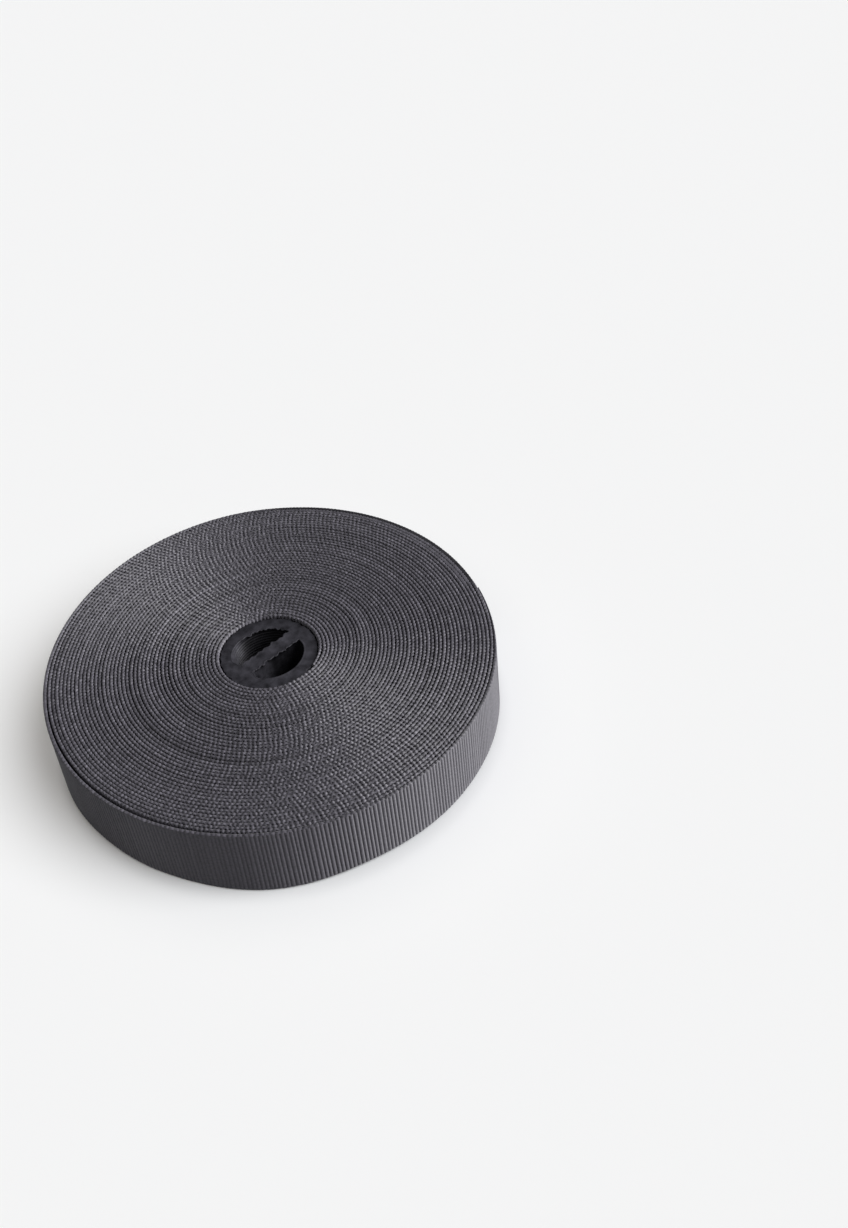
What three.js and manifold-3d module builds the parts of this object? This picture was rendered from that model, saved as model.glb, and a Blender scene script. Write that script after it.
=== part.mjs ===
// A roll of ribbed tape, wound flat on a small moulded core and lying on its face.
// Millimetres, +Z up. Z is the winding axis, the roll rests on z = 0, and the core's bar runs along X.

import * as THREE from "three";
import { mergeVertices } from "three/addons/utils/BufferGeometryUtils.js";
import Module from "manifold-3d";

const wasm = await Module();
wasm.setup();

// The tape
const TAPE_WIDTH = 20;
const TAPE_THICKNESS = 1;
const TAPE_LENGTH = 10000;
const SELVEDGE_ROUNDING = 0.3;

// The outermost turn: where it ends, how it ends, and where it stands off the turn below it.
// Angles are in degrees, counter-clockwise from +X. The tape winds outwards counter-clockwise.
const END_ANGLE = -24;
const SEALED_END_THICKNESS = 0.5;
const SEALED_END_LENGTH = 15;
const SLACK_FROM_ANGLE = 145;
const SLACK_TO_ANGLE = 235;
const SLACK_GAP = 0.45;

// The core
const CORE_DIAMETER = 25.4;
const CORE_CLEARANCE = 0.3;
const CORE_RECESS = 0.5;
const CORE_EDGE_ROUNDING = 0.3;
const BORE_RADIUS = 8.9;
const BAR_WIDTH = 4.4;

// Rough trimmed edges of the bar: two waves, each with a height and a pitch.
const COARSE_WAVE = { height: 0.16, pitch: 2.3 };
const FINE_WAVE = { height: 0.09, pitch: 0.9 };
const ROUGH_STEP = 0.4;

// Fineness of the round outlines
const OUTLINE_STEPS = 240;
const SLACK_STEPS = 40;
const BORE_STEPS = 96;
const BEVEL_STEPS = 2;

const FULL_TURN = 360;
const CUT_MARGIN = 1;
const MERGE_DISTANCE = 1e-5;

const coreSpace = CORE_DIAMETER / 2;
const woundRadius = Math.sqrt(coreSpace ** 2 + (TAPE_LENGTH * TAPE_THICKNESS) / Math.PI);

const COLOURS = {
  tape: { color: 0x4a484d, roughness: 0.9, metalness: 0 },
  core: { color: 0x2f2e31, roughness: 0.75, metalness: 0 },
};

// ---------- Shared helpers ----------

function polar(radius, degrees) {
  const angle = THREE.MathUtils.degToRad(degrees);
  return new THREE.Vector2(radius * Math.cos(angle), radius * Math.sin(angle));
}

// Extrudes a shape so that its rounded rims stay inside its outline and inside the given height.
function extrude(shape, bottom, height, rounding = 0) {
  const geometry = new THREE.ExtrudeGeometry(shape, {
    depth: height - 2 * rounding,
    steps: 1,
    bevelEnabled: rounding > 0,
    bevelThickness: rounding,
    bevelSize: rounding,
    bevelOffset: -rounding,
    bevelSegments: BEVEL_STEPS,
  });
  geometry.translate(0, 0, bottom + rounding);
  return geometry;
}

function toSolid(geometry) {
  const bare = geometry.clone();
  bare.deleteAttribute("normal");
  bare.deleteAttribute("uv");
  const merged = mergeVertices(bare, MERGE_DISTANCE);
  return new wasm.Manifold(
    new wasm.Mesh({
      numProp: 3,
      vertProperties: new Float32Array(merged.attributes.position.array),
      triVerts: new Uint32Array(merged.index.array),
    }),
  );
}

function toMesh(name, solid, colour) {
  const { vertProperties, triVerts } = solid.getMesh();
  const geometry = new THREE.BufferGeometry();
  geometry.setAttribute("position", new THREE.BufferAttribute(new Float32Array(vertProperties), 3));
  geometry.setIndex(new THREE.BufferAttribute(new Uint32Array(triVerts), 1));
  geometry.computeVertexNormals();
  const mesh = new THREE.Mesh(geometry, new THREE.MeshStandardMaterial(colour));
  mesh.name = name;
  return mesh;
}

// ---------- The wound tape ----------

// Share of a turn that a place lies behind the tape's cut end, going clockwise.
function shareBehindEnd(degrees) {
  return THREE.MathUtils.euclideanModulo(END_ANGLE - degrees, FULL_TURN) / FULL_TURN;
}

// Outside of the second turn from the outside, which the outermost turn lies on.
function innerFaceRadius(share) {
  return woundRadius - TAPE_THICKNESS / 2 - TAPE_THICKNESS * share;
}

// The sealed end is pressed thin and swells to the full thickness a little way back.
function tapeThickness(share) {
  const sealedShare = SEALED_END_LENGTH / (2 * Math.PI * woundRadius);
  const recovered = THREE.MathUtils.smoothstep(share, 0, sealedShare);
  return THREE.MathUtils.lerp(SEALED_END_THICKNESS, TAPE_THICKNESS, recovered);
}

function slackGap(share) {
  const along = THREE.MathUtils.mapLinear(
    share,
    shareBehindEnd(SLACK_TO_ANGLE),
    shareBehindEnd(SLACK_FROM_ANGLE),
    0,
    1,
  );
  return along > 0 && along < 1 ? SLACK_GAP * Math.sin(Math.PI * along) ** 2 : 0;
}

// One turn of the spiral outline, from the cut end back to the place just under it.
function rollShape() {
  const outline = [];
  for (let step = 0; step <= OUTLINE_STEPS; step += 1) {
    const share = step / OUTLINE_STEPS;
    const radius = innerFaceRadius(share) + tapeThickness(share) + slackGap(share);
    outline.push(polar(radius, END_ANGLE - FULL_TURN * share));
  }
  const shape = new THREE.Shape(outline);
  const bore = [];
  for (let step = 0; step < BORE_STEPS; step += 1) {
    bore.push(polar(coreSpace, (FULL_TURN * step) / BORE_STEPS));
  }
  shape.holes.push(new THREE.Path(bore));
  return shape;
}

// The crescent of air under the outermost turn where it stands off the roll.
function slackShape() {
  const under = [];
  const over = [];
  for (let step = 0; step <= SLACK_STEPS; step += 1) {
    const angle = THREE.MathUtils.lerp(SLACK_FROM_ANGLE, SLACK_TO_ANGLE, step / SLACK_STEPS);
    const share = shareBehindEnd(angle);
    under.push(polar(innerFaceRadius(share), angle));
    if (step > 0 && step < SLACK_STEPS) {
      over.unshift(polar(innerFaceRadius(share) + slackGap(share), angle));
    }
  }
  return new THREE.Shape([...under, ...over]);
}

function tapeRoll() {
  const wound = toSolid(extrude(rollShape(), 0, TAPE_WIDTH, SELVEDGE_ROUNDING));
  const air = toSolid(extrude(slackShape(), -CUT_MARGIN, TAPE_WIDTH + 2 * CUT_MARGIN));
  return toMesh("tape_roll", wound.subtract(air), COLOURS.tape);
}

// ---------- The core ----------

// How far the trimmed edge stands off its true line, at a distance along the bar.
function roughEdge(along) {
  const wave = ({ height, pitch }) => height * Math.sin((2 * Math.PI * along) / pitch);
  return wave(COARSE_WAVE) + wave(FINE_WAVE);
}

// One D-shaped opening beside the bar. side is 1 for the +Y opening and -1 for the -Y one.
function openingShape(side) {
  const barEdge = BAR_WIDTH / 2;
  const cornerAngle = THREE.MathUtils.radToDeg(Math.asin(barEdge / BORE_RADIUS));
  const halfChord = Math.sqrt(BORE_RADIUS ** 2 - barEdge ** 2);
  const points = [];
  const arcSteps = BORE_STEPS / 2;
  for (let step = 0; step <= arcSteps; step += 1) {
    const angle = THREE.MathUtils.lerp(cornerAngle, FULL_TURN / 2 - cornerAngle, step / arcSteps);
    const { x, y } = polar(BORE_RADIUS, angle);
    points.push(new THREE.Vector2(x, side * y));
  }
  const chordSteps = Math.round((2 * halfChord) / ROUGH_STEP);
  for (let step = 1; step < chordSteps; step += 1) {
    const x = THREE.MathUtils.lerp(-halfChord, halfChord, step / chordSteps);
    points.push(new THREE.Vector2(x, side * (barEdge + roughEdge(x * side))));
  }
  return new THREE.Shape(points);
}

function core() {
  const radius = coreSpace - CORE_CLEARANCE;
  const height = TAPE_WIDTH - 2 * CORE_RECESS;
  const rim = [];
  for (let step = 0; step < BORE_STEPS; step += 1) {
    rim.push(polar(radius, (FULL_TURN * step) / BORE_STEPS));
  }
  let solid = toSolid(extrude(new THREE.Shape(rim), CORE_RECESS, height, CORE_EDGE_ROUNDING));
  for (const side of [1, -1]) {
    const opening = extrude(openingShape(side), -CUT_MARGIN, TAPE_WIDTH + 2 * CUT_MARGIN);
    solid = solid.subtract(toSolid(opening));
  }
  return toMesh("core", solid, COLOURS.core);
}

const roll = new THREE.Group();
roll.add(tapeRoll(), core());

export default roll;
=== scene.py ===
import math

import bmesh
import bpy
import numpy as np
from mathutils import Matrix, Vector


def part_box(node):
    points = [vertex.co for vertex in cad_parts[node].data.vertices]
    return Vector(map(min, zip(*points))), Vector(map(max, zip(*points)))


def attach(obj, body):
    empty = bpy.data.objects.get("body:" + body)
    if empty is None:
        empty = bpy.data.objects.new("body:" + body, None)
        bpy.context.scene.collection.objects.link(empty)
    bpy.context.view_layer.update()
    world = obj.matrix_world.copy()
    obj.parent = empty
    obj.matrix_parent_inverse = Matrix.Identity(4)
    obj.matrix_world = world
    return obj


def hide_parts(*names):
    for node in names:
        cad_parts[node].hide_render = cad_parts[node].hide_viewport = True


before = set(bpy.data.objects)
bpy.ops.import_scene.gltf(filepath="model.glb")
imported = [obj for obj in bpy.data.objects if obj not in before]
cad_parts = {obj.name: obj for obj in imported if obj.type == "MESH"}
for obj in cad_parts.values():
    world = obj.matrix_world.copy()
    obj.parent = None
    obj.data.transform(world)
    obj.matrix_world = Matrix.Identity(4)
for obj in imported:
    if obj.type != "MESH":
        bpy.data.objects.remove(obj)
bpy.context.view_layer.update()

bl_info = {
    "name": "Wound Tape Roll",
    "version": (1, 0, 0),
    "blender": (4, 5, 0),
    "location": "View3D > Sidebar > Tape Roll",
    "description": "Builds a flat-wound roll of ribbed tape on a small moulded core",
    "category": "Object",
}

BODY = "root"
MM = 0.001
FULL_TURN = 2 * math.pi
SEED = 20

# Places read from the solids
CORE_LOW, CORE_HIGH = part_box("core")
ROLL_LOW, ROLL_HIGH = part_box("tape_roll")
CORE_CLEARANCE = 0.3 * MM
CORE_RADIUS = (CORE_HIGH.x - CORE_LOW.x) / 2
CORE_SPACE = CORE_RADIUS + CORE_CLEARANCE

# How the tape is wound. Angles are counter-clockwise from +X, and the tape winds outwards
# counter-clockwise until its cut end.
END_ANGLE = math.radians(-24)
SEALED_END_THICKNESS = 0.2 * MM
SEALED_END_LENGTH = 36 * MM
START_LENGTH = 10 * MM
START_THICKNESS = 0.5
OUTER_TURNS = 1.03
WOUND_PIECES = 4
EDGE_SPACE = 0.2 * MM

# How the turns step up over the tape's start: the width of the first step, as a share of a turn,
# and the turns over which the step spreads
FIRST_STEP = 0.1
STEP_SPREAD = 10.0

# Where the outermost turn stands off the ones below it, how many turns down that is felt, and the
# shares of the slack that it and the next turn are drawn in by
SLACK_ANGLE = math.radians(192)
SLACK_REACH = math.radians(60)
SLACK_LAYERS = 10
OUTER_DRAWN_IN = 0.1
INNER_DRAWN_IN = 1.1

# Where the roll is a little flat, and how many turns down that reaches
FLAT_ANGLE = math.radians(125)
FLAT_REACH = math.radians(75)
FLAT_LAYERS = 20
FLAT_DEPTH = 0.33 * MM

# Where the lower edge of the outermost turn leans out: the angle, how far it reaches on either side
# (both in degrees), and how far out it leans
LEANS = ((-131, 27, 1.0 * MM), (165, 22, 0.5 * MM))

# Where that edge is raised, and where the ribs are rubbed flatter
RAISED_ANGLE = math.radians(-108)
RAISED_REACH = math.radians(28)
RAISED = 0.5 * MM
RUBBED_ANGLE = math.radians(-146)
RUBBED_REACH = math.radians(34)
RUBBED = 0.55

# How far the inner turns stand proud, and how far out from the core that reaches
DOME = 0.5 * MM
DOME_WIDTH = 30 * MM


# ---------- Settings ----------


class TapeSettings(bpy.types.PropertyGroup):
    """Sizes and colours of the tape."""

    length: bpy.props.FloatProperty(
        name="Length", description="Length of the whole tape", default=10.0, unit="LENGTH"
    )
    pitch: bpy.props.FloatProperty(
        name="Turn pitch", description="Distance from one turn to the next",
        default=1.0 * MM, unit="LENGTH",
    )
    width: bpy.props.FloatProperty(
        name="Width", description="Width of the tape, edge to edge",
        default=(ROLL_HIGH.z - ROLL_LOW.z) - 2 * EDGE_SPACE, unit="LENGTH",
    )
    thickness: bpy.props.FloatProperty(
        name="Thickness", description="Thickness of the tape over the crowns of its ribs",
        default=0.94 * MM, unit="LENGTH",
    )
    rib_pitch: bpy.props.FloatProperty(
        name="Rib pitch", description="Distance from one cross rib to the next",
        default=1.0 * MM, unit="LENGTH",
    )
    rib_depth: bpy.props.FloatProperty(
        name="Rib depth", description="Depth of the furrow between two ribs on a face",
        default=0.24 * MM, unit="LENGTH",
    )
    bead_pitch: bpy.props.FloatProperty(
        name="Bead pitch", description="Distance from one bead of the woven edge to the next",
        default=1.25 * MM, unit="LENGTH",
    )
    bead_depth: bpy.props.FloatProperty(
        name="Bead depth", description="Depth of the notch between two beads of the woven edge",
        default=0.29 * MM, unit="LENGTH",
    )
    edge_height: bpy.props.FloatProperty(
        name="Edge height", description="Height of the rounding at the woven edge",
        default=0.29 * MM, unit="LENGTH",
    )
    slack: bpy.props.FloatProperty(
        name="Slack", description="Widest gap under the outermost turn",
        default=0.5 * MM, unit="LENGTH",
    )
    unevenness: bpy.props.FloatProperty(
        name="Unevenness", description="How far single turns stand above or below the rest",
        default=0.10 * MM, unit="LENGTH",
    )
    crown_colour: bpy.props.FloatVectorProperty(
        name="Crown colour", description="Colour of the yarn on the crowns of the ribs",
        default=(0.173, 0.165, 0.194), size=3, min=0, max=1, subtype="COLOR",
    )
    # The furrow colour is painted shade, for the yarn down between the ribs and in the edge's
    # notches.
    furrow_shade_colour: bpy.props.FloatVectorProperty(
        name="Furrow colour", description="Colour of the yarn down between the ribs",
        default=(0.109, 0.104, 0.122), size=3, min=0, max=1, subtype="COLOR",
    )


class CoreSettings(bpy.types.PropertyGroup):
    """Sizes and colour of the core."""

    bore: bpy.props.FloatProperty(
        name="Bore radius", description="Radius of the bore that the bar crosses",
        default=8.9 * MM, unit="LENGTH",
    )
    bar: bpy.props.FloatProperty(
        name="Bar width", description="Width of the bar across the bore",
        default=4.4 * MM, unit="LENGTH",
    )
    ring_depth: bpy.props.FloatProperty(
        name="Ring depth", description="Depth of the fine rings on the wall of the bore",
        default=0.2 * MM, unit="LENGTH",
    )
    colour: bpy.props.FloatVectorProperty(
        name="Colour", description="Colour of the moulded core",
        default=(0.051, 0.0495, 0.0595), size=3, min=0, max=1, subtype="COLOR",
    )


class StageSettings(bpy.types.PropertyGroup):
    """Light, floor and camera."""

    floor_colour: bpy.props.FloatVectorProperty(
        name="Floor colour", description="Colour of the pale floor",
        default=(0.90, 0.90, 0.90), size=3, min=0, max=1, subtype="COLOR",
    )
    floor_bounce: bpy.props.FloatProperty(
        name="Floor bounce", description="Share of its light that the floor throws on the roll",
        default=0.26, min=0, max=1,
    )
    key_strength: bpy.props.FloatProperty(
        name="Key strength", description="Strength of the soft light on the tape", default=4.15
    )
    side_strength: bpy.props.FloatProperty(
        name="Side strength", description="Strength of the light on the tape from the front side",
        default=0.5,
    )
    back_strength: bpy.props.FloatProperty(
        name="Back strength", description="Strength of the light on the tape from behind",
        default=0.45,
    )
    core_side_strength: bpy.props.FloatProperty(
        name="Core side strength", description="Strength of the core's light from the side",
        default=2.75,
    )
    core_top_strength: bpy.props.FloatProperty(
        name="Core top strength", description="Strength of the core's light from above",
        default=0.6,
    )
    floor_side_strength: bpy.props.FloatProperty(
        name="Floor side strength", description="Strength of the floor's light from the side",
        default=2.4,
    )
    floor_top_strength: bpy.props.FloatProperty(
        name="Floor top strength", description="Strength of the floor's light from above",
        default=0.9,
    )
    floor_back_strength: bpy.props.FloatProperty(
        name="Floor back strength", description="Strength of the floor's light from just behind",
        default=0.5,
    )


# ---------- Shared helpers ----------


def smooth_step(value, low, high):
    """0 up to the low value and 1 from the high one, rising smoothly in between."""
    share = np.clip((value - low) / (high - low), 0, 1)
    return share * share * (3 - 2 * share)


def hump(angle, middle, reach):
    """1 at the middle angle, falling smoothly to 0 a reach away on either side."""
    away = np.abs((angle - middle + math.pi) % FULL_TURN - math.pi)
    return 0.5 + 0.5 * np.cos(math.pi * np.clip(away / reach, 0, 1))


def smooth_noise(rng, count, spacing):
    """A function of turns: random values a given spacing apart, joined smoothly."""
    knots = rng.normal(size=count)

    def value(turns):
        place = np.clip(np.asarray(turns) / spacing, 0, count - 2)
        low = place.astype(int)
        share = smooth_step(place - low, 0, 1)
        return knots[low] * (1 - share) + knots[low + 1] * share

    return value


def collection(name):
    """The scene's collection of that name, made when it is first asked for."""
    found = bpy.data.collections.get(name)
    if not found:
        found = bpy.data.collections.new(name)
        bpy.context.scene.collection.children.link(found)
    return found


def finished_piece(mesh, name, material, slot, *nodes):
    """Links a finished mesh as a piece that rides on the roll and stands for its solids."""
    mesh.name = name
    mesh.materials.append(material)
    piece = bpy.data.objects.new(name, mesh)
    collection(slot).objects.link(piece)
    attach(piece, BODY)
    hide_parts(*nodes)
    return piece


class Shader:
    """A short way to add nodes to a material and join them."""

    def __init__(self, name):
        self.material = bpy.data.materials.new(name)
        self.material.use_nodes = True
        self.tree = self.material.node_tree
        self.principled = self.tree.nodes["Principled BSDF"]

    def add(self, kind, **settings):
        node = self.tree.nodes.new(kind)
        for key, value in settings.items():
            setattr(node, key, value)
        return node

    def join(self, source, target):
        self.tree.links.new(source, target)

    def feed(self, target, value):
        """Sets a socket to a number or a colour, or links another socket to it."""
        if isinstance(value, bpy.types.NodeSocket):
            self.join(value, target)
        else:
            target.default_value = value

    def math(self, operation, first, second=0.0, third=0.0):
        node = self.add("ShaderNodeMath", operation=operation)
        for socket, value in zip(node.inputs, (first, second, third)):
            self.feed(socket, value)
        return node.outputs[0]

    def mix(self, share, first, second, blend="MIX"):
        node = self.add("ShaderNodeMix", data_type="RGBA", blend_type=blend)
        self.feed(node.inputs["Factor"], share)
        self.feed(node.inputs["A"], first)
        self.feed(node.inputs["B"], second)
        return node.outputs["Result"]

    def attribute(self, name):
        return self.add("ShaderNodeAttribute", attribute_name=name).outputs["Fac"]

    def noise(self, vector, scale, detail=2.0):
        node = self.add("ShaderNodeTexNoise")
        self.join(vector, node.inputs["Vector"])
        node.inputs["Scale"].default_value = scale
        node.inputs["Detail"].default_value = detail
        return node.outputs["Fac"]

    def tinted(self, colour, tone):
        """Gives the surface a colour times a tone."""
        grey = self.add("ShaderNodeCombineColor")
        for channel in grey.inputs:
            self.join(tone, channel)
        base = self.mix(1.0, colour, grey.outputs[0], "MULTIPLY")
        self.join(base, self.principled.inputs["Base Color"])

    def bump(self, height, distance):
        node = self.add("ShaderNodeBump")
        self.join(height, node.inputs["Height"])
        node.inputs["Distance"].default_value = distance
        self.join(node.outputs["Normal"], self.principled.inputs["Normal"])


def opaque(colour):
    return (*colour, 1.0)


# ---------- The tape's cloth ----------

# Yarns along the tape and their fuzz. Pitch and scale are in millimetres of the cloth's map.
WARP_PITCH = 0.3
WARP_HEIGHT = 0.25
FIBRE_SCALE = 1.6
FIBRE_HEIGHT = 0.8
FIBRE_TONES = 1.1
YARN_DISTANCE = 0.03 * MM


def tape_material(tape):
    """Matte yarn: pale crowns, furrows darkened with painted shade, fine warp yarns along the tape.
    """
    shader = Shader("grosgrain")
    along = shader.add("ShaderNodeUVMap", uv_map="tape").outputs["UV"]
    split = shader.add("ShaderNodeSeparateXYZ")
    shader.join(along, split.inputs[0])
    rib = shader.attribute("rib")
    shade = shader.attribute("shade")
    fibres = shader.noise(along, FIBRE_SCALE)
    # Painted shade: the colour runs from the darker furrow colour, down between ribs, to the crown
    # colour on their crowns.
    cloth = shader.mix(rib, opaque(tape.furrow_shade_colour), opaque(tape.crown_colour))
    mottled = shader.math("MULTIPLY_ADD", fibres, FIBRE_TONES, 1 - FIBRE_TONES / 2)
    shader.tinted(cloth, shader.math("MULTIPLY", shade, mottled))
    phase = shader.math("MULTIPLY", split.outputs["Y"], FULL_TURN / WARP_PITCH)
    warp = shader.math("SINE", phase)
    fuzz = shader.math("MULTIPLY", fibres, FIBRE_HEIGHT)
    shader.bump(shader.math("MULTIPLY_ADD", warp, WARP_HEIGHT, fuzz), YARN_DISTANCE)
    sockets = shader.principled.inputs
    lengthwise = shader.add("ShaderNodeTangent", direction_type="UV_MAP", uv_map="tape")
    shader.join(lengthwise.outputs[0], sockets["Tangent"])
    sockets["Anisotropic"].default_value = 0.9
    sockets["Anisotropic Rotation"].default_value = 0.25
    sockets["Roughness"].default_value = 0.6
    sockets["Specular IOR Level"].default_value = 0.9
    sockets["Sheen Weight"].default_value = 0.3
    sockets["Sheen Roughness"].default_value = 0.3
    return shader.material


# The weave. Of each pair, the first value is for the ribs and the second for the edge's beads: the
# power of their round profile, lower being blunter, and how much their sizes differ.
RIB, BEAD = 0, 1
BUMP_POWER = (0.7, 1.0)
BUMP_SPREAD = (0.05, 0.12)

# How far ribs and beads stray along the tape, and over what distance
BUMP_WOBBLE = 0.08 * MM
WOBBLE_SPACING = 2 * MM

# Shares of the full depth: of the beads on the outermost turn, and of the ribs at the sealed end
# and on the woven edge
OUTER_BEADS = 0.5
SEALED_RIBS = 0.3
EDGE_RIBS = 0.3

# The woven edge: a lower power makes it flatter, and rows that rise further than this belong to it
EDGE_FLATNESS = 0.70
ON_EDGE = 0.01

# Tones: the crown colour's share in the notches of the edge, the rest there being the furrow
# colour's painted shade, the edge's tone, and how much single beads, ribs and turns differ
EDGE_CROWN = 0.5
EDGE_TONE = 0.94
EDGE_TONES = 0.12
FACE_TONES = 0.04
TURN_TONES = 0.10

# Unevenness of the winding: how high the turns stand, a slower drift of that and its share, how
# thick they are, and their tone. Spacings are in turns.
LIFT_SPACING = 0.37
SLOW_LIFT_SPACING = 4.0
SLOW_LIFT = 0.6
SQUEEZE_SPACING = 0.43
SQUEEZE = 0.05
SQUEEZE_LIMIT = 0.7
TONE_SPACING = 0.23

# The turns just past the cut end, which are pressed together: the layer, and the share of a turn
# where the pressing starts
PRESSED_LAYERS = ((0, 0.76), (1, 0.78), (2, 0.88))
PRESSED_FADE = 0.06
PRESSED_LAST = 0.99

# What pressing does: the shares of the beads and of the edge's swell that go. The outermost turn
# also sinks there, and is painted darker there as shade.
PRESSED_BEADS = 0.75
PRESSED_SWELL = 0.88
SUNK_EDGE = 0.12 * MM
SUNK_SHADE = 0.75

# Fineness: the step along the tape, and the steps round each edge and up each face
FINE_STEP = 0.125 * MM
FINE_SECTION = (6, 10)
PLAIN_STEP = 0.25 * MM
PLAIN_SECTION = (3, 1)
JOIN_DISTANCE = 0.001 * MM


def outer_radius(tape):
    """Radius of the tape's middle at its cut end."""
    return math.sqrt(CORE_SPACE**2 + tape.length * tape.pitch / math.pi)


def turns_inward(distance, tape):
    """Turns from the cut end to a place that far along the tape."""
    outer = outer_radius(tape)
    return (outer - np.sqrt(outer**2 - tape.pitch * distance / math.pi)) / tape.pitch


def distance_inward(turns, tape):
    return math.pi * turns * (2 * outer_radius(tape) - turns * tape.pitch)


def outer_length(tape):
    """Length of the outermost piece: a whole number of beads and ribs, a little over one turn."""
    whole = 5 * MM
    return round(distance_inward(OUTER_TURNS, tape) / whole) * whole


def lay_radius(turns, tape):
    """Radius of the tape's middle. The first turns each step up over the tape's start, and further
    out the step spreads into an even spiral."""
    laid = (outer_radius(tape) - CORE_SPACE) / tape.pitch - turns
    nearest = np.round(laid)
    width = np.minimum(FIRST_STEP * np.exp(laid / STEP_SPREAD), 1)
    step = np.clip((laid - nearest) / width, -0.5, 0.5)
    return CORE_SPACE + tape.pitch * (0.5 + np.maximum(nearest + step - 0.5, 0))


def round_shift(turns, angle, tape):
    """How far a place lies off the even spiral. The outermost turn stands off the ones below it,
    which are drawn in there, and one side of the roll is a little flat: both less further in."""
    below = np.clip(1 - (turns - 1) / SLACK_LAYERS, 0, 1)
    drawn_in = np.where(turns < 1, OUTER_DRAWN_IN, INNER_DRAWN_IN * below)
    gap = tape.slack * drawn_in * hump(angle, SLACK_ANGLE, SLACK_REACH)
    flat = FLAT_DEPTH * hump(angle, FLAT_ANGLE, FLAT_REACH) * np.clip(1 - turns / FLAT_LAYERS, 0, 1)
    return -gap - flat


def sealed_share(distance, tape):
    """0 at the cut end and about half at the start, rising to 1 where the tape is at its full
    thickness."""
    end = smooth_step(distance, 0, SEALED_END_LENGTH)
    start = smooth_step(tape.length - distance, 0, START_LENGTH)
    return end * (START_THICKNESS + (1 - START_THICKNESS) * start)


def behind_end(turns, layer, first):
    """1 on one layer over the part of a turn that lies just past the cut end, fading in."""
    share = turns - layer
    return smooth_step(share, first, first + PRESSED_FADE) * smooth_step(-share, -1, -PRESSED_LAST)


class Winding:
    """The seeded unevenness of the whole tape, shared by all its pieces."""

    def __init__(self, tape):
        rng = np.random.default_rng(SEED)
        turns = int(outer_radius(tape) / tape.pitch)
        self.lift = smooth_noise(rng, turns * 3, LIFT_SPACING)
        self.slow_lift = smooth_noise(rng, turns, SLOW_LIFT_SPACING)
        self.squeeze = smooth_noise(rng, turns * 3, SQUEEZE_SPACING)
        self.tone = smooth_noise(rng, turns * 6, TONE_SPACING)
        count = int(tape.length / min(tape.rib_pitch, tape.bead_pitch)) + 2
        self.sizes = rng.normal(size=(2, count)).clip(-2, 2)
        self.tones = rng.normal(size=(2, count)).clip(-2, 2)
        self.wobble = smooth_noise(rng, count, 1.0)

    def bumps(self, distance, pitch, kind):
        """Height of the rib or bead at each distance, from 0 in a furrow to about 1, and its
        tone."""
        place = distance / pitch
        number = np.minimum(np.floor(place + 1e-6).astype(int), self.sizes.shape[1] - 1)
        share = np.clip(place - number, 0, 1)
        height = np.sin(math.pi * share) ** BUMP_POWER[kind]
        spread = 1 + BUMP_SPREAD[kind] * self.sizes[kind][number]
        return height * spread, self.tones[kind][number]


class Lay:
    """Each step along a piece of the tape: where it lies on the roll, and its shape there."""

    def __init__(self, tape, winding, distance):
        self.rib, self.rib_tone = winding.bumps(distance, tape.rib_pitch, RIB)
        bead, self.bead_tone = winding.bumps(distance, tape.bead_pitch, BEAD)
        self.sealed = sealed_share(distance, tape)
        wobble = BUMP_WOBBLE * winding.wobble(distance / WOBBLE_SPACING)
        self.distance = np.clip(distance + wobble, 0, tape.length)
        turns = turns_inward(self.distance, tape)
        outermost = turns < 1
        self.angle = END_ANGLE - FULL_TURN * turns

        layers = [behind_end(turns, layer, first) for layer, first in PRESSED_LAYERS]
        sunk_dark = layers[0]
        self.pressed = np.maximum.reduce(layers)
        notch = (1 - PRESSED_BEADS * self.pressed) * np.where(outermost, OUTER_BEADS, 1)
        self.bead = 1 - (1 - bead) * notch

        squeeze = winding.squeeze(turns).clip(-2, SQUEEZE_LIMIT)
        full = tape.thickness / 2 * (1 + SQUEEZE * squeeze)
        full = full + self.pressed * (tape.pitch / 2 - full)
        thin = SEALED_END_THICKNESS / 2
        self.half = thin + (full - thin) * self.sealed
        middle = lay_radius(turns, tape) + round_shift(turns, self.angle, tape)
        self.middle = middle - (1 - self.sealed) * (tape.pitch - SEALED_END_THICKNESS) / 2

        self.lean = outermost * sum(
            out * hump(self.angle, math.radians(at), math.radians(reach))
            for at, reach, out in LEANS
        )
        self.raised = outermost * RAISED * hump(self.angle, RAISED_ANGLE, RAISED_REACH)
        self.rubbed = outermost * RUBBED * hump(self.angle, RUBBED_ANGLE, RUBBED_REACH)
        lift = winding.lift(turns) + SLOW_LIFT * winding.slow_lift(turns)
        spread = tape.unevenness * np.clip(lift / 2, -1, 1)
        dome = DOME * np.clip(1 - (self.middle - CORE_SPACE) / DOME_WIDTH, 0, 1) ** 2
        self.bottom = ROLL_LOW.z + EDGE_SPACE + spread + dome - SUNK_EDGE * sunk_dark
        # Random tone along the turns, and painted shade on the sunk outermost turn past the cut
        # end.
        self.tone = (1 + TURN_TONES * winding.tone(turns)) * (1 - SUNK_SHADE * sunk_dark)


class Section:
    """One lap round the tape's section. For each row: how far it lies across the thickness, how far
    up its rounded edge, how far up the face, and how far round the section."""

    def __init__(self, tape, edge_steps, face_steps):
        rows = []
        for level in (1, 0):
            for step in range(edge_steps + 1):
                turn = math.pi * (step / edge_steps + 1 - level)
                across, rise = math.cos(turn), math.sin(turn)
                rows.append((math.copysign(abs(across) ** EDGE_FLATNESS, across),
                             math.copysign(abs(rise) ** EDGE_FLATNESS, rise), level))
        for step in range(1, face_steps):
            rows.append((1.0, 0.0, step / face_steps))
        rows.append(rows[0])
        self.across, self.rise, self.level = np.array(rows).T
        self.face_height = tape.width - 2 * tape.edge_height
        girth_step = np.hypot(
            np.diff(self.across) * tape.thickness / 2,
            np.diff(self.rise) * tape.edge_height + np.diff(self.level) * self.face_height,
        )
        self.girth = np.concatenate([[0], np.cumsum(girth_step)])


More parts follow.
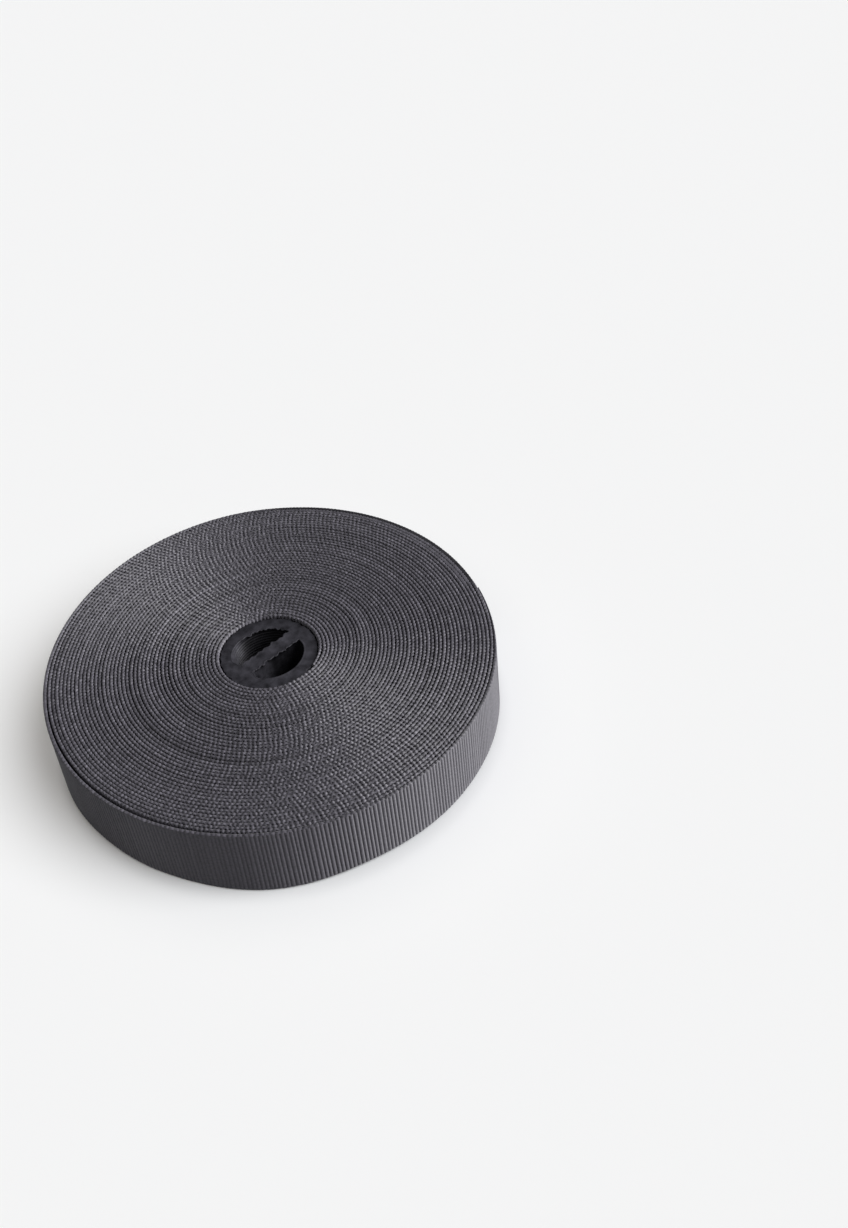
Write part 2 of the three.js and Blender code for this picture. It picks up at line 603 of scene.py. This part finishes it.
def flat_grid(name, along_count, lap_count):
    """A flat grid, and for each of its points the step along the tape and the row of the section
    that it stands for."""
    mesh = bpy.data.meshes.new(name)
    sheet = bmesh.new()
    bmesh.ops.create_grid(sheet, x_segments=along_count - 1, y_segments=lap_count - 1, size=0.5)
    sheet.to_mesh(mesh)
    sheet.free()
    flat = np.empty(len(mesh.vertices) * 3, np.float32)
    mesh.vertices.foreach_get("co", flat)
    flat = flat.reshape(-1, 3)
    along = np.rint((flat[:, 0] + 0.5) * (along_count - 1)).astype(int)
    row = np.rint((flat[:, 1] + 0.5) * (lap_count - 1)).astype(int)
    return mesh, along, row


def roll_up(mesh, tape, lay, section, along, row):
    """Moves the points of the flat grid to their places on the roll."""
    across, rise, level = section.across[row], section.rise[row], section.level[row]
    softened = SEALED_RIBS + (1 - SEALED_RIBS) * lay.sealed
    depth = tape.rib_depth * (1 - lay.rib) * softened * (1 - lay.rubbed)
    depth = np.where(np.abs(rise) > ON_EDGE, EDGE_RIBS, 1) * depth[along]
    radius = lay.middle[along] + (lay.half[along] - depth) * across + lay.lean[along] * (1 - level)
    swell = tape.edge_height - tape.bead_depth * (1 - lay.bead)
    swell = swell * (1 - PRESSED_SWELL * lay.pressed)
    height = lay.bottom[along] + tape.edge_height + section.face_height * level
    height = height + swell[along] * rise + lay.raised[along] * (1 - level)
    angle = lay.angle[along]
    place = np.stack([radius * np.cos(angle), radius * np.sin(angle), height], 1)
    mesh.vertices.foreach_set("co", place.astype(np.float32).ravel())


def tint_yarn(mesh, lay, section, along, row):
    """Keeps each point's height on its rib or bead, which the cloth's material turns into painted
    shade in the furrows and notches, and its tone.
    """
    on_edge = np.abs(section.rise[row]) > ON_EDGE
    crown = np.where(on_edge, EDGE_CROWN + (1 - EDGE_CROWN) * lay.bead[along], lay.rib[along])
    edge_tone = EDGE_TONE + EDGE_TONES * lay.bead_tone[along]
    face_tone = 1 + FACE_TONES * lay.rib_tone[along]
    shade = np.where(on_edge, edge_tone, face_tone) * lay.tone[along]
    for label, values in (("rib", crown), ("shade", shade)):
        layer = mesh.attributes.new(label, "FLOAT", "POINT")
        layer.data.foreach_set("value", values.astype(np.float32))


def map_yarn(mesh, lay, section, along, row):
    """Lays the cloth's map along the tape and round its section, in millimetres."""
    corners = np.empty(len(mesh.loops), np.int32)
    mesh.loops.foreach_get("vertex_index", corners)
    mapped = np.stack([lay.distance[along[corners]], section.girth[row[corners]]], 1) / MM
    mesh.uv_layers.new(name="tape").uv.foreach_set("vector", mapped.astype(np.float32).ravel())


def close_strip(mesh):
    """Joins the lap round the section and closes both ends of the strip."""
    closed = bmesh.new()
    closed.from_mesh(mesh)
    bmesh.ops.remove_doubles(closed, verts=closed.verts, dist=JOIN_DISTANCE)
    rims = [edge for edge in closed.edges if edge.is_boundary]
    bmesh.ops.holes_fill(closed, edges=rims, sides=0)
    bmesh.ops.recalc_face_normals(closed, faces=closed.faces)
    for face in closed.faces:
        face.smooth = len(face.verts) == 4
    closed.to_mesh(mesh)
    closed.free()


def add_tape(name, distance, section, tape, winding):
    lay = Lay(tape, winding, distance)
    mesh, along, row = flat_grid(name, len(lay.distance), len(section.across))
    roll_up(mesh, tape, lay, section, along, row)
    tint_yarn(mesh, lay, section, along, row)
    map_yarn(mesh, lay, section, along, row)
    close_strip(mesh)
    material = bpy.data.materials.get("grosgrain") or tape_material(tape)
    piece = finished_piece(mesh, name, material, "tape", "tape_roll")


class ROLL_OT_outer_turn(bpy.types.Operator):
    """Make the outermost turn, with its ribbed face, its slack and its sealed end"""

    bl_idname = "roll.outer_turn"
    bl_label = "Outermost Turn"

    def execute(self, context):
        tape = context.scene.roll_tape
        distance = FINE_STEP * np.arange(int(outer_length(tape) / FINE_STEP) + 1)
        section = Section(tape, *FINE_SECTION)
        add_tape("tape_outer_turn", distance, section, tape, Winding(tape))
        return {"FINISHED"}


class ROLL_OT_wound_turns(bpy.types.Operator):
    """Make the rest of the wound tape, in equal lengths from the outside to the core"""

    bl_idname = "roll.wound_turns"
    bl_label = "Wound Turns"

    def execute(self, context):
        tape = context.scene.roll_tape
        winding = Winding(tape)
        section = Section(tape, *PLAIN_SECTION)
        cuts = np.linspace(outer_length(tape), tape.length, WOUND_PIECES + 1) / PLAIN_STEP
        cuts = cuts.round().astype(int)
        for number, (first, last) in enumerate(zip(cuts, cuts[1:]), 1):
            distance = PLAIN_STEP * np.arange(first, last + 1)
            name = f"tape_turns_{number}"
            add_tape(name, distance, section, tape, winding)
        return {"FINISHED"}


# ---------- The core ----------

# Rims, from the face down to the wall: how far each row is set back, and how far it stands above
# the face, in millimetres
OUTER_RIM = ((0.15, 0.0), (0.04, -0.04), (0.0, -0.15))
LIP = (
    (0.55, 0.0), (0.42, 0.05), (0.28, 0.09), (0.14, 0.08),
    (0.05, 0.02), (0.0, -0.07), (0.0, -0.2),
)
RIM_DEPTH = 0.4 * MM

# The rings on the bore's wall: their pitch, and the depth at which they reach their full size
RING_PITCH = 0.9 * MM
RING_START = 1.0 * MM

# Fineness of the walls: rows down them, points round the bore, and cuts of the bar's edge
WALL_STEPS = 140
ROUND_STEPS = 144
CHORD_CUTS = 127

# The core is a little wider across one direction.
OUT_OF_ROUND = 0.10 * MM
CLOSE_ANGLE = math.radians(110)

# Torn edges: the regular wave of the trimming, then random ones, each with its pitch and size
TRIM_WAVE = (2.3 * MM, 0.2 * MM)
TORN_WAVES = ((1.4 * MM, 0.18 * MM), (0.6 * MM, 0.13 * MM), (0.3 * MM, 0.07 * MM))
TORN_KNOTS = 400

# How deep the tearing reaches, the share of it left below that, and the stretch at the bar's ends
# where it fades
TORN_DEPTH = 0.5 * MM
TORN_BELOW = 0.15
TORN_TAPER = 1.5 * MM

# How far apart the bar's two edges are taken from the waves, how far the bar is cut in below its
# edges, and the share of the tearing on the core's outside
SIDE_OFFSET = 30 * MM
UNDERCUT = 0.3 * MM
OUTSIDE_TEAR = 0.6

# The far rim of the opening on the +Y side is torn between these angles, in degrees
RAG = 1.5
RAG_START = (15, 30)
RAG_END = (95, 115)

# That opening's rim also flares softly at one place.
SOFT_ANGLE = math.radians(135)
SOFT_REACH = math.radians(55)
FLARE = 0.6 * MM
FLARE_DEPTH = 0.8 * MM

# How much each corner of the openings is filled in: the side in Y, and whether it is the +X one
CORNER_FILL = {(1, False): 0.10, (1, True): 0.03, (-1, False): 0.18, (-1, True): 0.05}
CORNER_SIZE = 1.6 * MM

# Tones of the moulding, painted shade. Inside the openings the walls are painted dark as shade,
# except between two angles, in degrees, where light reaches the bore's wall, and a narrow rim round
# the bore. The rest of the face is painted darker towards its outer edge, where it meets the tape,
# and most on one side, as shade.
INSIDE_SHADE = 0.28
LIT_WALL_TONE = 1.0
LIT_WALL_START = (90, 120)
LIT_WALL_END = (205, 262)
UNSHADED_RIM = 1.0 * MM
OUTER_SHADE = 0.85
OUTER_PAINTED_SHADE = 0.35
OUTER_SHADE_ANGLE = math.radians(60)
OUTER_SHADE_REACH = math.radians(110)
FACE_DEPTH = 0.1 * MM

# The moulding's mottle and grain: scales to a metre, strength of the tone and height of the bump
CLOUD_SCALE = 450.0
CLOUD_TONES = 2.2
CLOUD_HEIGHT = 2.0
GRAIN_SCALE = 5000.0
MOULD_DISTANCE = 0.03 * MM
MOULD_SHINE = 0.2


def core_material(core):
    """Dull moulded plastic with a faint mottle, darkened and made less shiny by the painted shade
    in the shade attribute.
    """
    shader = Shader("moulded_core")
    place = shader.add("ShaderNodeTexCoord").outputs["Object"]
    cloud = shader.noise(place, CLOUD_SCALE, 3.0)
    grain = shader.noise(place, GRAIN_SCALE)
    mottled = shader.math("MULTIPLY_ADD", cloud, CLOUD_TONES, 1 - CLOUD_TONES / 2)
    shade = shader.attribute("shade")
    shader.tinted(opaque(core.colour), shader.math("MULTIPLY", shade, mottled))
    shader.bump(shader.math("MULTIPLY_ADD", cloud, CLOUD_HEIGHT, grain), MOULD_DISTANCE)
    shader.principled.inputs["Roughness"].default_value = 0.45
    # The shine follows the painted shade, so that the shaded walls don't reflect.
    shine = shader.math("MULTIPLY", shade, MOULD_SHINE)
    shader.join(shine, shader.principled.inputs["Specular IOR Level"])
    return shader.material


class Tearing:
    """Seeded torn outlines of the moulding's trimmed edges."""

    def __init__(self):
        rng = np.random.default_rng(SEED + 1)
        self.waves = [(rng.normal(size=TORN_KNOTS), pitch, size) for pitch, size in TORN_WAVES]

    def at(self, along):
        """How far the torn edge stands off its line, at a distance along it."""
        pitch, size = TRIM_WAVE
        total = size * math.sin(FULL_TURN * along / pitch)
        for knots, pitch, size in self.waves:
            place = along / pitch + TORN_KNOTS / 2
            low = int(place)
            total += size * (knots[low] * (low + 1 - place) + knots[low + 1] * (place - low))
        return total


def wall_rows(steps, rim):
    """The rows down a wall, each with how far it is set back and its height: the rim at the upper
    face, the wall, and the same rim at the lower face."""
    low, high = CORE_LOW.z, CORE_HIGH.z
    upper = [(back * MM, high + rise * MM) for back, rise in rim]
    lower = [(back * MM, low - rise * MM) for back, rise in reversed(rim)]
    wall = [(0.0, z) for z in np.linspace(high - RIM_DEPTH, low + RIM_DEPTH, steps)]
    return upper + wall + lower


def opening_rim(core, side):
    """The rim of one D-shaped opening as a ring of edges: a disc, cut along the bar's edge."""
    wall = bmesh.new()
    bmesh.ops.create_circle(wall, cap_ends=True, segments=ROUND_STEPS, radius=core.bore)
    cut = bmesh.ops.bisect_plane(
        wall, geom=wall.verts[:] + wall.edges[:] + wall.faces[:],
        plane_co=(0, side * core.bar / 2, 0), plane_no=(0, side, 0), clear_inner=True,
    )
    chord = [item for item in cut["geom_cut"] if isinstance(item, bmesh.types.BMEdge)]
    bmesh.ops.subdivide_edges(wall, edges=chord, cuts=CHORD_CUTS)
    bmesh.ops.delete(wall, geom=wall.faces[:], context="FACES_ONLY")
    return wall


def below_face(height):
    """Depth of a height below the nearer face of the core, and how much of the tearing is left
    there."""
    depth = max(0, min(CORE_HIGH.z - height, height - CORE_LOW.z))
    return depth, math.exp(-((depth / TORN_DEPTH) ** 2))


def bore_place(home, row, core, side, tearing):
    """A point on the round part of an opening's wall: ringed, and filled in at the corners. The
    opening on the +Y side is torn at its rim and flares there."""
    back, height = row
    depth, torn = below_face(height)
    angle = math.atan2(home.y, home.x)
    ring = core.ring_depth * math.sin(FULL_TURN * depth / RING_PITCH) * min(depth / RING_START, 1)
    rag = 0
    if side > 0:
        rag = smooth_step(math.degrees(angle), *RAG_START)
        rag *= 1 - smooth_step(math.degrees(angle), *RAG_END)
        rag *= RAG * abs(tearing.at(angle * core.bore))
        soft = float(hump(angle, SOFT_ANGLE, SOFT_REACH))
        back += FLARE * soft * math.exp(-depth / FLARE_DEPTH)
    scale = (core.bore + back + ring - rag * torn) / core.bore
    from_bar = side * home.y - core.bar / 2
    fill = CORNER_FILL[side, home.x > 0]
    filled = 1 - fill * math.exp(-((from_bar / CORNER_SIZE) ** 2))
    return (home.x * scale * filled, home.y * scale, height)


def bar_place(home, row, core, side, tearing):
    """A point on the bar's edge, torn at the faces and set back below them."""
    back, height = row
    torn = below_face(height)[1]
    half_chord = math.sqrt(core.bore**2 - (core.bar / 2) ** 2)
    reach = home.x / half_chord
    taper = min(1, (1 - abs(reach)) * half_chord / TORN_TAPER)
    rough = tearing.at(home.x + SIDE_OFFSET * side) * taper
    rough *= TORN_BELOW + (1 - TORN_BELOW) * torn
    edge = core.bar / 2 - back + rough - UNDERCUT * (1 - torn) * taper
    fill = CORNER_FILL[side, home.x > 0]
    along = reach * (1 - fill * abs(reach)) * math.sqrt((core.bore + back) ** 2 - edge**2)
    return (along, side * edge, height)


def opening_place(home, row, core, side, tearing):
    """Where a point of an opening's rim lies on one row of its wall."""
    on_bar = abs(side * home.y - core.bar / 2) <= JOIN_DISTANCE
    place = bar_place if on_bar else bore_place
    return place(home, row, core, side, tearing)


def outer_place(home, row, tearing):
    """Where a point of the core's outside lies on one row: a little out of round, so that it
    touches the tape in two places only, and rough at the faces."""
    back, height = row
    torn = below_face(height)[1]
    angle = math.atan2(home.y, home.x)
    radius = CORE_RADIUS + OUT_OF_ROUND * (1 + math.cos(2 * (angle - CLOSE_ANGLE))) / 2 - back
    radius += OUTSIDE_TEAR * tearing.at(angle * CORE_RADIUS) * torn
    return (radius * math.cos(angle), radius * math.sin(angle), height)


def moulding_shade(place, core):
    """Tone of the moulding, painted shade: full on its faces and where light reaches the bore's
    wall, darker elsewhere inside the openings and towards the outer edge where the face meets the
    tape."""
    depth = min(CORE_HIGH.z - place.z, place.z - CORE_LOW.z)
    radius = math.hypot(place.x, place.y)
    angle = math.atan2(place.y, place.x)
    # Past a narrow rim round the bore the face is painted darker as shade, most on one side.
    if radius > core.bore + UNSHADED_RIM:
        return OUTER_SHADE - OUTER_PAINTED_SHADE * float(hump(angle, OUTER_SHADE_ANGLE, OUTER_SHADE_REACH))
    if depth < FACE_DEPTH:
        return 1.0
    degrees = math.degrees(angle) % 360
    # Light reaches the wall between these angles; elsewhere inside it is painted shade.
    lit_wall = smooth_step(degrees, *LIT_WALL_START) * (1 - smooth_step(degrees, *LIT_WALL_END))
    return INSIDE_SHADE + (LIT_WALL_TONE - INSIDE_SHADE) * float(lit_wall)


def add_wall(moulding, wall, rows, place):
    """Extrudes a ring of edges down through the rows of a wall and joins it to the moulding."""
    homes = {vert: vert.co.copy() for vert in wall.verts}
    ring = wall.edges[:]
    for vert, home in homes.items():
        vert.co = place(home, rows[0])
    for row in rows[1:]:
        made = bmesh.ops.extrude_edge_only(wall, edges=ring)["geom"]
        fresh = {item for item in made if isinstance(item, bmesh.types.BMVert)}
        below = {}
        for vert in fresh:
            above = next(edge.other_vert(vert) for edge in vert.link_edges
                         if edge.other_vert(vert) in homes)
            below[vert] = homes[above]
            vert.co = place(below[vert], row)
        homes = below
        ring = [item for item in made if isinstance(item, bmesh.types.BMEdge)]
        ring = [edge for edge in ring if edge.verts[0] in fresh and edge.verts[1] in fresh]
    mesh = bpy.data.meshes.new("wall")
    wall.to_mesh(mesh)
    wall.free()
    moulding.from_mesh(mesh)
    bpy.data.meshes.remove(mesh)


class ROLL_OT_core(bpy.types.Operator):
    """Make the moulded core: a ring with a roughly trimmed bar and a finely ringed bore"""

    bl_idname = "roll.core"
    bl_label = "Core"

    def execute(self, context):
        core = context.scene.roll_core
        moulding = bmesh.new()
        tearing = Tearing()
        for side in (1, -1):
            add_wall(
                moulding, opening_rim(core, side), wall_rows(WALL_STEPS, LIP),
                lambda home, row, side=side: opening_place(home, row, core, side, tearing),
            )
        outside = bmesh.new()
        bmesh.ops.create_circle(outside, segments=2 * ROUND_STEPS, radius=CORE_RADIUS)
        add_wall(
            moulding, outside, wall_rows(2, OUTER_RIM),
            lambda home, row: outer_place(home, row, tearing),
        )
        for face in moulding.faces:
            face.smooth = True
        middle = (CORE_LOW.z + CORE_HIGH.z) / 2
        rims = [edge for edge in moulding.edges if edge.is_boundary]
        for up in (1, -1):
            rim = [edge for edge in rims if (edge.verts[0].co.z - middle) * up > 0]
            bmesh.ops.triangle_fill(moulding, use_beauty=True, edges=rim, normal=(0, 0, up))
        bmesh.ops.recalc_face_normals(moulding, faces=moulding.faces)
        mesh = bpy.data.meshes.new("core_moulding")
        moulding.to_mesh(mesh)
        moulding.free()
        shades = [moulding_shade(vert.co, core) for vert in mesh.vertices]
        mesh.attributes.new("shade", "FLOAT", "POINT").data.foreach_set("value", shades)
        finished_piece(mesh, "core_moulding", core_material(core), "core", "core")
        return {"FINISHED"}


# ---------- The stage ----------

CAMERA_PLACE = (-0.1317, -0.2197, 0.2721)
CAMERA_HEADING = math.radians(-40)
CAMERA_DOWN = math.radians(44.07)
CAMERA_ROLL = math.radians(-6.17)
LENS_MM = 41.14
SENSOR_MM = 36.0
NEAREST_SEEN = 0.01
FLOOR_SIZE = 8.0
BACKGROUND = (0.9, 0.9, 0.9)

WARM = (1.05, 1.0, 0.93)
COOL = (0.97, 1.0, 1.04)
WHITE = (1.0, 1.0, 1.0)

# Each light: where it comes from, counter-clockwise from +X, how high it stands and how wide it is,
# all in degrees, then what it reaches and its colour
LIGHTS = {
    "key": ((-42, 23, 36), "tape", WHITE),
    "side": ((-85, 14, 30), "tape", WHITE),
    "back": ((140, 20, 60), "tape", WHITE),
    "core_side": ((-36, 38, 40), "core", WHITE),
    "core_top": ((-120, 55, 60), "core", WHITE),
    "floor_side": ((-60, 48, 50), "floor", COOL),
    "floor_top": ((0, 90, 100), "floor", WARM),
    "floor_back": ((60, 81, 14), "floor", WHITE),
}


def floor_material(stage):
    """Pale floor, which throws only part of its light back on the roll."""
    shader = Shader("pale_floor")
    seen = shader.add("ShaderNodeLightPath").outputs["Is Camera Ray"]
    thrown = [stage.floor_bounce] * 3
    colour = shader.mix(seen, opaque(thrown), opaque(stage.floor_colour))
    shader.join(colour, shader.principled.inputs["Base Color"])
    shader.principled.inputs["Roughness"].default_value = 1.0
    shader.principled.inputs["Specular IOR Level"].default_value = 0.0
    return shader.material


def add_sun(name, strength, direction, receivers, colour):
    """A soft, distant light that reaches one collection only."""
    heading, height, width = (math.radians(angle) for angle in direction)
    lamp = bpy.data.objects.new(name, bpy.data.lights.new(name, "SUN"))
    bpy.context.scene.collection.objects.link(lamp)
    lamp.data.energy = strength
    lamp.data.color = colour
    lamp.data.angle = width
    turn = Matrix.Rotation(heading + math.pi / 2, 4, "Z")
    lamp.matrix_world = turn @ Matrix.Rotation(math.pi / 2 - height, 4, "X")
    lamp.light_linking.receiver_collection = collection(receivers)


def studio_world():
    """White background for the camera, and no other light."""
    world = bpy.data.worlds.new("studio")
    world.use_nodes = True
    nodes = world.node_tree.nodes
    seen = nodes.new("ShaderNodeLightPath").outputs["Is Camera Ray"]
    background = nodes["Background"]
    background.inputs["Color"].default_value = opaque(BACKGROUND)
    world.node_tree.links.new(seen, background.inputs["Strength"])
    return world


class ROLL_OT_stage(bpy.types.Operator):
    """Set the camera, the floor and the soft studio light"""

    bl_idname = "roll.stage"
    bl_label = "Stage"

    def execute(self, context):
        scene = context.scene
        stage = scene.roll_stage
        scene.view_settings.view_transform = "Standard"

        camera = bpy.data.objects.new("camera", bpy.data.cameras.new("camera"))
        scene.collection.objects.link(camera)
        camera.data.sensor_width = SENSOR_MM
        camera.data.lens = LENS_MM
        camera.data.clip_start = NEAREST_SEEN
        tilt = Matrix.Rotation(math.pi / 2 - CAMERA_DOWN, 4, "X")
        heading = Matrix.Rotation(CAMERA_HEADING, 4, "Z")
        roll = Matrix.Rotation(CAMERA_ROLL, 4, "Z")
        camera.matrix_world = Matrix.Translation(CAMERA_PLACE) @ heading @ tilt @ roll
        scene.camera = camera

        ground = bmesh.new()
        bmesh.ops.create_grid(ground, x_segments=1, y_segments=1, size=FLOOR_SIZE / 2)
        mesh = bpy.data.meshes.new("floor")
        ground.to_mesh(mesh)
        ground.free()
        mesh.materials.append(floor_material(stage))
        floor = bpy.data.objects.new("floor", mesh)
        collection("floor").objects.link(floor)

        for name, light in LIGHTS.items():
            add_sun(name, getattr(stage, f"{name}_strength"), *light)
        scene.world = studio_world()
        return {"FINISHED"}


# ---------- The panel and registration ----------


class ROLL_PT_panel(bpy.types.Panel):
    """Lists the steps that build the roll"""

    bl_idname = "ROLL_PT_panel"
    bl_label = "Tape Roll"
    bl_space_type = "VIEW_3D"
    bl_region_type = "UI"
    bl_category = "Tape Roll"

    def draw(self, context):
        for step in STEPS:
            self.layout.operator(step.bl_idname)
        for settings in SETTINGS:
            group = getattr(context.scene, settings)
            box = self.layout.box()
            for name in group.bl_rna.properties.keys():
                if name not in {"rna_type", "name"}:
                    box.prop(group, name)


STEPS = (ROLL_OT_stage, ROLL_OT_outer_turn, ROLL_OT_wound_turns, ROLL_OT_core)
CLASSES = (TapeSettings, CoreSettings, StageSettings, *STEPS, ROLL_PT_panel)
SETTINGS = {"roll_tape": TapeSettings, "roll_core": CoreSettings, "roll_stage": StageSettings}


def register():
    for each in CLASSES:
        bpy.utils.register_class(each)
    for name, group in SETTINGS.items():
        setattr(bpy.types.Scene, name, bpy.props.PointerProperty(type=group))


def unregister():
    for name in SETTINGS:
        delattr(bpy.types.Scene, name)
    for each in reversed(CLASSES):
        bpy.utils.unregister_class(each)


def main():
    register()
    bpy.ops.roll.stage()
    bpy.ops.roll.outer_turn()
    bpy.ops.roll.wound_turns()
    bpy.ops.roll.core()


if __name__ == "__main__":
    main()
